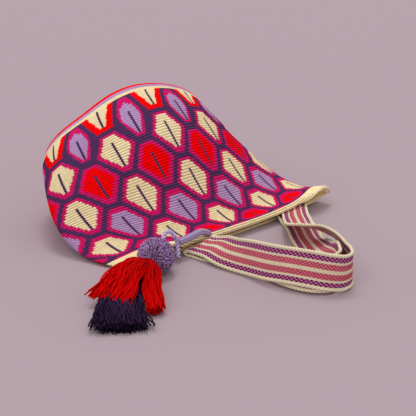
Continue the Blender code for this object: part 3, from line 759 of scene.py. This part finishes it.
def bag_grid(name, points, rounds, materials, tones=None, weld=False):
    """A piece of the bag above the floor, with its rows of points at these rounds of stitches."""
    stitches = LINE_STITCHES[:, ::MESH_COLUMNS // points.shape[1]]
    grid(name, keep_up(points) - ORIGIN_ON_FLOOR, surface(stitches, rounds[:, None]), materials,
         ["bag_body"], tones, weld)


def relief(points, counts, size):
    """Raise each round of stitches between its two grooves, and each stitch between its neighbours."""
    wave = np.abs(np.sin(math.pi * counts)) ** ROUND_POWER - MEAN_RELIEF
    stitch = np.where(np.arange(points.shape[1])[None, :] % 2, 0.5, -0.5) * STITCH_RELIEF
    height = size * wave[:, None] + stitch * (wave[:, None] > FLAT_BELOW)
    around = np.roll(points, -1, axis=1) - np.roll(points, 1, axis=1)
    outward = unit(np.cross(np.gradient(points, axis=0), around))
    return points + outward * height[..., None]


def stitch_lines(count):
    """Columns of the mesh lines at a height in rounds, leaning within each round."""
    return LINE_COLUMNS + STITCH_LEAN * (count % 1 - 0.5) / STITCHES


def wall_pieces(yarns):
    """The wall, in two pieces that meet in the groove between two rounds."""
    first = -math.ceil(FIRST_ROUND / ROUND / ROUND_STEP)
    for name, low, high in (("bag_wall_back", first, SPLIT_ROUND),
                            ("bag_wall_front", SPLIT_ROUND, WORKED_ROUNDS)):
        counts = np.arange(low * ROWS_PER_ROUND, high * ROWS_PER_ROUND + 1) / ROWS_PER_ROUND
        rows = []
        for count in counts:
            v = np.clip(round_distance(count * ROUND_STEP), 0.0, BAG_LENGTH)
            rows.append(ring(v, column_place(stitch_lines(count), v)))
        points = relief(np.array(rows), counts, ROUND_RELIEF)
        tones = stitch_tones(range(low, high)).repeat(ROWS_PER_ROUND, axis=0)
        bag_grid(name, points, counts, yarns, tones)


def rim_piece():
    """The rim from its fold round its turned edge into the mouth. Returns the lining's first ring."""
    around = column_place(LINE_COLUMNS, BAG_LENGTH)
    steps = RIM_ROUNDS * ROWS_PER_RIM_ROUND
    band, edge = rim_rows(around, steps)
    rolled = roll_share(around)[:, None]
    inside = (ring(BAG_LENGTH, around, FABRIC) * (1 - rolled)
              + ring(BAG_LENGTH - LINING_BACK / 2, around, FABRIC) * rolled)
    counts = np.linspace(0, RIM_ROUNDS, steps + 1)
    points = relief(np.array([ring(BAG_LENGTH, around)] + band), counts, RIM_RELIEF)
    turned = (points[-1] + edge) / 2 + (band[-1] - band[-2]) * HEM_SWELL
    points = np.concatenate([points, [turned, edge, inside]])
    counts = np.concatenate([counts, RIM_ROUNDS + np.array(HEM_ROUNDS)])
    # the rim's grooves get deeper painted shade, and its yarn a higher gain
    bag_grid("bag_rim", points, counts, [crochet("rim_yarn", "cream", 0.44, 1.30)])
    return inside


def base_piece(yarns):
    """The base, worked round by round from its centre to the wall."""
    edge = ring(0, column_place(LINE_COLUMNS, 0))
    reach = GIRTH / (2 * math.pi) / ROUND / ROUND_STEP
    shares = np.linspace(0, 1, int(reach * ROWS_PER_BASE_ROUND) + 1)
    rounds = -FIRST_ROUND / ROUND / ROUND_STEP - (1 - shares) * reach
    rows = [base_cap(edge, share, BASE_BULGE) for share in shares]
    points = relief(np.array(rows), rounds, ROUND_RELIEF)
    points[[0, -1]] = rows[0], rows[-1]
    middles = (np.floor((rounds[1:] + rounds[:-1]) / 2) + 0.5) * ROUND_STEP
    tones = np.array([[YARNS.index(pattern_colour(middle, 0))] * MESH_COLUMNS for middle in middles])
    bag_grid("bag_base", points, rounds, yarns, tones, weld=True)


def lining_piece(yarn, inside):
    """The inner side of the bag, from inside the rim to the middle of the base."""
    rows = [inside]
    for v in np.linspace(BAG_LENGTH - LINING_BACK, LINING_END, LINING_ROWS):
        rows.append(ring(v, column_place(LINE_COLUMNS, v), FABRIC))
    inner = ring(0, column_place(LINE_COLUMNS, 0), FABRIC)
    rows += [base_cap(inner, share, BASE_BULGE - FABRIC) for share in LINING_SHARES]
    points = np.array(rows)[:, ::LINING_SKIP]
    bag_grid("bag_lining", points, np.arange(len(rows)) * LINING_ROUNDS, [yarn])


def crochet_pieces():
    """The bag's wall, rim, base and lining."""
    yarns = [crochet(f"yarn_{name}", name) for name in YARNS]
    wall_pieces(yarns)
    inside = rim_piece()
    base_piece(yarns)
    lining_piece(yarns[YARNS.index("plum")], inside)


# Strap

def strap_seam(places, upper):
    """Upper and lower selvedge where the strap passes the lip that it is sewn to."""
    places = np.linspace(*places, SEAM_POINTS)
    rows, edge = rim_rows(places, RIM_ROUNDS)
    clearance = STRAP_THICKNESS / 2 + SEAM_GAP
    points = edge[[0, -1]]
    if upper:
        points[:, 2] = np.min(rows, axis=0)[:, 2].min() - clearance
    else:
        lining = ring(BAG_LENGTH - LINING_BACK, places, FABRIC)
        points[:, 2] = max(edge[:, 2].max(), lining[:, 2].max()) + clearance
    return points


def strap_end(seam, next_pair):
    """The strap's end, inside the mouth beyond its seam."""
    inward = seam.mean(axis=0) - np.mean(next_pair, axis=0)
    inward[2] = 0
    return seam + SEAM_DEPTH * unit(inward)


STRAP_STATIONS = (
    ((0.1000, -0.0090, 0.0115), (0.1400, -0.0140, 0.0115)),
    ((0.0860, -0.0240, 0.0175), (0.1250, -0.0300, 0.0155)),
    ((0.0665, -0.0450, 0.0243), (0.1065, -0.0540, 0.0200)),
    ((0.0500, -0.0680, 0.0310), (0.0900, -0.0790, 0.0220)),
    ((0.0510, -0.0930, 0.0380), (0.0910, -0.0990, 0.0190)),
    ((0.0580, -0.1190, 0.0430), (0.0920, -0.1200, 0.0145)),
    ((0.0540, -0.1420, 0.0455), (0.0800, -0.1390, 0.0090)),
    ((0.0470, -0.1630, 0.0460), (0.0620, -0.1590, 0.0035)),
    ((0.0370, -0.1820, 0.0465), (0.0450, -0.1790, 0.0015)),
    ((0.0300, -0.1960, 0.0470), (0.0330, -0.1960, 0.0015)),
    ((0.0190, -0.2080, 0.0470), (0.0170, -0.2100, 0.0015)),
    ((0.0050, -0.2110, 0.0480), (-0.0030, -0.2130, 0.0030)),
    ((-0.0090, -0.2040, 0.0500), (-0.0230, -0.2060, 0.0080)),
    ((-0.0200, -0.1860, 0.0510), (-0.0360, -0.1870, 0.0095)),
    ((-0.0300, -0.1640, 0.0510), (-0.0480, -0.1640, 0.0095)),
    ((-0.0400, -0.1370, 0.0500), (-0.0570, -0.1390, 0.0068)),
    ((-0.0420, -0.1060, 0.0450), (-0.0590, -0.1050, 0.0030)),
    ((-0.0390, -0.0710, 0.0360), (-0.0690, -0.0610, 0.0040)),
    ((-0.0310, -0.0420, 0.0280), (-0.0720, -0.0360, 0.0074)),
    ((-0.0290, -0.0220, 0.0205), (-0.0740, -0.0180, 0.0062)),
    ((-0.0310, -0.0125, 0.0185), (-0.0760, -0.0085, 0.0060)),
    ((-0.0330, -0.0090, 0.0140), (-0.0780, -0.0050, 0.0045)),
    ((-0.0330, -0.0120, 0.0095), (-0.0762, -0.0070, 0.0021)),
    ((-0.0310, -0.0210, 0.0085), (-0.0735, -0.0160, 0.0019)),
    ((-0.0290, -0.0360, 0.0150), (-0.0690, -0.0330, 0.0018)),
    ((-0.0210, -0.0620, 0.0230), (-0.0600, -0.0610, 0.0015)),
    ((-0.0150, -0.0920, 0.0300), (-0.0500, -0.0965, 0.0015)),
    ((-0.0110, -0.1190, 0.0310), (-0.0460, -0.1270, 0.0015)),
    ((-0.0090, -0.1430, 0.0330), (-0.0480, -0.1520, 0.0015)),
    ((-0.0060, -0.1640, 0.0350), (-0.0450, -0.1760, 0.0015)),
    ((0.0000, -0.1790, 0.0370), (-0.0320, -0.1970, 0.0015)),
    ((0.0070, -0.1880, 0.0410), (-0.0130, -0.2060, 0.0015)),
    ((0.0170, -0.1910, 0.0440), (0.0060, -0.1970, 0.0015)),
    ((0.0240, -0.1834, 0.0405), (0.0150, -0.1880, 0.0015)),
    ((0.0332, -0.1718, 0.0365), (0.0190, -0.1730, 0.0015)),
    ((0.0426, -0.1591, 0.0320), (0.0230, -0.1500, 0.0015)),
    ((0.0545, -0.1440, 0.0265), (0.0300, -0.1250, 0.0015)),
    ((0.0667, -0.1294, 0.0205), (0.0365, -0.1100, 0.0015)),
    ((0.0798, -0.1138, 0.0140), (0.0450, -0.0950, 0.0015)),
    ((0.0926, -0.0981, 0.0080), (0.0540, -0.0790, 0.0015)),
    ((0.1040, -0.0830, 0.0030), (0.0660, -0.0570, 0.0015)),
    ((0.1260, -0.0500, 0.0025), (0.0880, -0.0230, 0.0020)),
)


def strap_frames(count):
    """Centre, direction across and normal of the strap at even steps along it."""
    first = strap_seam(UPPER_SEAM, True)
    last = strap_seam(LOWER_SEAM, False)
    free = STRAP_STATIONS
    pairs = np.array([strap_end(first, free[0]), first, *free, last, strap_end(last, free[-1])])
    upper, lower = pairs[:, 0], pairs[:, 1]
    path = smooth_path(np.hstack([(upper + lower) / 2, unit(upper - lower)]), count)
    centre, across = path[:, :3], unit(path[:, 3:])
    along = unit(np.gradient(centre, axis=0))
    droop = np.abs(across[:, 2]) * STRAP_WIDTH / 2 + STRAP_THICKNESS / 2
    centre[:, 2] = np.maximum(centre[:, 2], droop)
    return centre, across, unit(np.cross(along, across))


def stripe_lines():
    """Places across the strap of its mesh lines, the stripe of each strip, and the stripes' borders."""
    borders = np.concatenate([[0], np.cumsum([width for _, width in STRIPES])])
    borders = borders / borders[-1]
    shares, names = [], []
    for (name, _), low, high in zip(STRIPES, borders, borders[1:]):
        parts = ROPE_PARTS if name == "rope" else STRIPE_PARTS
        shares.extend(low + (high - low) * k / parts for k in range(parts))
        names.extend([name] * parts)
    return np.array(shares + [1.0]), names, borders


def half_thickness(length, shares, borders):
    """Half the strap's thickness along and across it: twisted ropes on both sides of a flat band."""
    edge = np.minimum(shares, 1 - shares) / borders[1]
    rope = np.sqrt(np.clip(1 - (2 * edge - 1) ** 2, 0, 1)) * ROPE_RADIUS
    turn = length[:, None] / ROPE_PITCH + 0.5 * edge + (shares > 0.5) * ROPE_SHIFT
    off_border = np.min(np.abs(shares[:, None] - borders), axis=1)
    band = STRAP_THICKNESS / 2 * BAND_SHARE + STRIPE_SWELL * (off_border > BORDER_SHARE)
    return np.where(edge <= 1, rope * (1 + ROPE_SWELL * np.sin(2 * math.pi * turn)), band)


def shoulder_strap():
    """The woven strap with its roped selvedges."""
    centre, across, normal = strap_frames(STRAP_STEPS)
    length = run_length(centre)
    shares, names, borders = stripe_lines()
    middle = centre[:, None, :] + ((shares - 0.5) * STRAP_WIDTH)[None, :, None] * across[:, None, :]
    rise = normal[:, None, :] * half_thickness(length, shares, borders)[:, :, None]
    points = np.concatenate([middle + rise, (middle - rise)[:, -2:0:-1]], axis=1)
    kinds = {
        "rope": woven("strap_rope", "strap_cream", layout="rope"),
        "violet": woven("strap_violet", "pink", "violet", "check"),
        "weave": woven("strap_weave", "strap_cream"),
        "crimson": woven("strap_crimson", "crimson", "dash", "dash"),
    }
    tones = [list(kinds).index(name) for name in names]
    tones = np.array(tones + tones[::-1])[None, :].repeat(len(length) - 1, axis=0)
    millimetres = np.concatenate([shares, 2 - shares[-2:0:-1], [2.0]]) * STRAP_WIDTH * 1000
    uvs = surface(length[:, None] * 1000, millimetres[None, :])
    strap = grid("woven_strap", keep_up(points - ORIGIN_ON_FLOOR, STRAP_FLOOR_GAP), uvs, list(kinds.values()),
                 replaces=["shoulder_strap"], tones=tones)


# Cords, pompom and tassels

DRAWSTRING_ROUTE = (
    (-0.0180, 0.0150, 0.0070, 0.6), (-0.0250, 0.0060, 0.0115, 0.7), (-0.0335, -0.0030, 0.0200, 0.9),
    (-0.0470, -0.0045, 0.0255, 1.0), (-0.0632, -0.0070, 0.0250, 1.0), (-0.0760, -0.0080, 0.0240, 1.0),
    (-0.0875, -0.0085, 0.0236, 1.0),
)
LOOP_FROM_POMPOM = (0.778, 0.479, 0.404)
LOOP_ROUTE = (
    (-0.1120, -0.0080, 0.0345, 1.0), (-0.1040, -0.0035, 0.0390, 1.0), (-0.0965, -0.0030, 0.0385, 1.0),
    (-0.0930, -0.0065, 0.0335, 1.0), (-0.0890, -0.0072, 0.0235, 1.0), (-0.0915, -0.0125, 0.0130, 1.0),
    (-0.0950, -0.0170, 0.0065, 1.0),
)

# Bunches of the tassels: the routes, then the widths and heights along them and the number of strands.
# Each red one starts on the pompom, in a direction from its centre.
RED_BUNCHES = (
    ((-0.95, -0.33, -0.12),
     ((-0.1860, -0.0455, 0.0310), (-0.2050, -0.0560, 0.0290), (-0.2245, -0.0655, 0.0220),
      (-0.2440, -0.0730, 0.0125)),
     ((0.015, 0.026, 0.036, 0.044, 0.050), (0.013, 0.018, 0.018, 0.015, 0.011), 320)),
    ((-0.85, -0.50, -0.05),
     ((-0.1769, -0.0700, 0.0240), (-0.1900, -0.0880, 0.0170), (-0.2085, -0.1200, 0.0065)),
     ((0.014, 0.022, 0.021, 0.018), (0.013, 0.018, 0.016, 0.012), 200)),
)
DARK_ROUTE = ((-0.1660, -0.0340, 0.0120), (-0.1890, -0.0450, 0.0115), (-0.2130, -0.0617, 0.0110),
              (-0.2415, -0.0977, 0.0085), (-0.2630, -0.1280, 0.0065))
DARK_SIZES = ((0.016, 0.036, 0.044, 0.052, 0.058), (0.015, 0.019, 0.019, 0.016, 0.013), 540)


def on_pompom(direction, gap=TOUCH_GAP):
    """The point at a gap from the part's uneven pompom, in a direction from its centre."""
    direction = unit(np.array(direction))
    x, y, z = direction
    swell = math.sin(7 * x + 1) * math.sin(6 * y + 2) * math.sin(8 * z)
    reach = POMPOM_RADIUS * (1 - POMPOM_SWELL + POMPOM_SWELL * swell) + gap
    return tuple(POMPOM_CENTRE + direction * reach)


def tube_frames(path):
    """Two directions across a path, which follow it without twisting."""
    along = unit(np.gradient(path, axis=0))
    side = np.zeros_like(along)
    side[0] = unit(np.cross(along[0], (0.0, 0.0, 1.0)))
    for i in range(1, len(along)):
        side[i] = unit(side[i - 1] - along[i] * np.dot(side[i - 1], along[i]))
    return side, np.cross(along, side)


def cord_piece(name, route, diameter, material, node, profile, steps):
    """A round cord along its route, whose points have a share of its thickness as their fourth value.

    profile gives the outline at each turn and length.
    """
    route = smooth_path(route, steps)
    path = route[:, :3] - ORIGIN_ON_FLOOR
    side, up = tube_frames(path)
    length = run_length(path)
    turn = np.linspace(0, 2 * math.pi, CORD_SIDES, endpoint=False)
    radius = diameter / 2 * route[:, 3:] * profile(turn[None, :], length[:, None])
    points = (path[:, None] + side[:, None] * (radius * np.cos(turn))[..., None]
              + up[:, None] * (radius * np.sin(turn))[..., None])
    caps = [path[end][None, None].repeat(CORD_SIDES, axis=1) for end in (0, -1)]
    points = np.concatenate([caps[0], points, caps[1]])
    along = np.concatenate([[0], length, [length[-1]]]) * 1000
    uvs = surface(np.linspace(0, 1, CORD_SIDES + 1)[None, :], along[:, None])
    piece = grid(name, keep_up(points), uvs, [material], replaces=[node], weld=True)
    return piece, path, length[-1]


def crocheted_profile(turn, length):
    """Outline of the drawstring: columns of V stitches side by side."""
    place = (turn * CORD_COLUMNS / (2 * math.pi)) % 1
    arm = np.abs(2 * place - 1)
    stitch = np.abs(np.sin(math.pi * (length / CORD_PITCH + 0.5 * arm)))
    return 1 - CORD_HOLLOW + CORD_HOLLOW * stitch**0.7 * np.sin(math.pi * place) ** 0.35


def twisted_profile(turn, length):
    """Outline of the loop: two plies twisted together."""
    return 1 - PLY_HOLLOW + PLY_HOLLOW * np.abs(np.cos(turn - 2 * math.pi * length / PLY_PITCH)) ** 0.8


def strand_tubes(name, paths, radii, material, nodes, sides=5):
    """Many thin yarns as one piece. paths is strands by steps by three."""
    paths = paths - ORIGIN_ON_FLOOR
    count, steps = paths.shape[:2]
    along = unit(np.gradient(paths, axis=1))
    helper = np.where(np.abs(along[..., 2:3]) > 0.9, (1.0, 0.0, 0.0), (0.0, 0.0, 1.0))
    side = unit(np.cross(along, helper))
    up = np.cross(along, side)
    turn = np.linspace(0, 2 * math.pi, sides, endpoint=False)[:, None]
    around = side[:, :, None] * np.cos(turn) + up[:, :, None] * np.sin(turn)
    points = keep_up(paths[:, :, None] + np.broadcast_to(radii, (count, steps))[:, :, None, None] * around)
    index = np.arange(count * steps * sides).reshape(count, steps, sides)
    right = np.roll(index, -1, axis=2)
    faces = np.stack([index[:, :-1], right[:, :-1], right[:, 1:], index[:, 1:]], -1).reshape(-1, 4)
    ends = np.linspace(0, 1, steps)
    corners = np.zeros((count, steps - 1, sides, 4, 2))
    place = np.arange(sides) / sides + STRAND_SPAN * np.arange(count)[:, None, None]
    for k, (beside, v) in enumerate(((0, ends[:-1]), (1, ends[:-1]), (1, ends[1:]), (0, ends[1:]))):
        corners[:, :, :, k, 0] = place + beside / sides + v[None, :, None] * STRAND_TWISTS
        corners[:, :, :, k, 1] = v[None, :, None]
    mesh = smooth_mesh(name, points, faces, corners, [material])
    return place_piece(name, mesh, nodes)


def pompom():
    """A ball of cut yarns that fan out from the axis of their knot, with painted shade darkening them towards
    their roots inside the ball.
    """
    chance = np.random.default_rng(7)
    k = np.arange(POMPOM_YARNS) + 0.5
    height = 1 - 2 * k / POMPOM_YARNS
    turn = math.pi * (1 + 5**0.5) * k
    level = np.sqrt(1 - height**2)
    direction = np.stack([level * np.cos(turn), level * np.sin(turn), height], -1)
    direction = unit(direction + chance.normal(0, POMPOM_SCATTER, direction.shape))
    bend = chance.normal(0, POMPOM_BEND, direction.shape)
    least, more = POMPOM_LENGTHS
    reach = POMPOM_REACH * (least + more * chance.random(POMPOM_YARNS))[:, None, None]
    turned, out = (np.array(shares)[None, :, None] for shares in (POMPOM_TURNED, POMPOM_OUT))
    gather = (direction @ POMPOM_TIE)[:, None, None] * POMPOM_TIE
    paths = POMPOM_CENTRE + reach * out * unit(direction[:, None] + (gather + bend[:, None]) * (1 - turned))
    # painted shade: the yarns run from a much darkened colour at their roots, deep in the ball, to a lighter
    # one at their tips
    material = strand("pompom_yarn", shade("pompom", 0.34), shade("pompom_tip", 1.42), 3.0, uneven=1.3)
    return strand_tubes("pompom_yarns", paths, np.array([POMPOM_RADII]), material, ["pompom"], 4)


def bunch_paths(chance, route, widths, heights, count, steps=18):
    """Strands that share a bunch's route, spread with it and wander a little."""
    path = smooth_path(route, steps)
    along = unit(np.gradient(path, axis=0))
    side = unit(np.cross((0.0, 0.0, 1.0), along))
    up = np.cross(along, side)
    stops = np.linspace(0, 1, steps)
    wide, tall = (np.interp(stops, np.linspace(0, 1, len(sizes)), sizes) / 2
                  for sizes in (widths, heights))
    angle = 2 * math.pi * chance.random(count)
    out = np.sqrt(chance.random(count))

    def wave(size, rate):
        """A wave along each strand that starts anywhere."""
        return size * np.sin(rate * stops[None, :] + WAVE_STARTS * chance.random((count, 1)))

    wander = sum(wave(*waves) for waves in STRAND_WAVES)
    drift = chance.normal(0, STRAND_DRIFT, (count, 1)) * stops**2
    lift = wave(*STRAND_LIFT) + chance.normal(0, LIFT_SCATTER, (count, 1))
    grown = smooth_step(stops, *WAVES_FROM)
    a = (out * np.cos(angle))[:, None] * FILL_WIDE + (wander + drift) * grown
    b = (out * np.sin(angle))[:, None] * FILL_TALL + lift * grown
    paths = path[None] + side[None] * (wide * a)[..., None] + up[None] * (tall * b)[..., None]
    least, more = STRAND_LENGTHS
    last = least + more * chance.random((count, 1)) ** 0.6
    at = stops[None, :] * last * (steps - 1)
    low = np.minimum(at.astype(int), steps - 2)
    part = (at - low)[..., None]
    rows = np.arange(count)[:, None]
    return paths[rows, low] * (1 - part) + paths[rows, low + 1] * part


def tassels():
    """The red tassel's two bunches over the dark one's fan."""
    chance = np.random.default_rng(11)
    red = [bunch_paths(chance, (on_pompom(start, -TIE_DEPTH), *route), *sizes)
           for start, route, sizes in RED_BUNCHES]
    yarn = strand("tassel_red_yarn", shade("tassel_red", 0.75), shade("tassel_red", 1.10),
                  roughness=0.7, plies=0.10, uneven=0.5)
    strand_tubes("tassel_red_yarns", np.concatenate(red), RED_STRAND_RADIUS, yarn,
                 ["tassel_red"])
    fan = bunch_paths(chance, DARK_ROUTE, *DARK_SIZES)
    yarn = strand("tassel_dark_yarn", shade("tassel_dark", 2.2), shade("tassel_dark", 0.8), 1.2,
                  roughness=0.8, plies=0.10, uneven=0.8)
    strand_tubes("tassel_dark_yarns", fan, DARK_STRAND_RADIUS, yarn, ["tassel_purple"])


def cords(hanging):
    """The crocheted drawstring and the twisted loop that holds the pompom and tassels."""
    material = cord_yarn("drawstring_yarn", shade("cord", 1.30))
    string, path, length = cord_piece("drawstring_cord", DRAWSTRING_ROUTE, CORD_DIAMETER, material,
                                      "drawstring", crocheted_profile, CORD_STEPS)
    route = ((*on_pompom(LOOP_FROM_POMPOM), 1.0), *LOOP_ROUTE)
    material = cord_yarn("loop_yarn", shade("cord", 1.60), plies=True)
    loop, loop_path, loop_length = cord_piece("twisted_loop", route, LOOP_DIAMETER, material, "tassel_loop",
                                              twisted_profile, LOOP_STEPS)


add_camera()
cords([pompom()])
tassels()
crochet_pieces()
add_floor()
shoulder_strap()
add_lights()
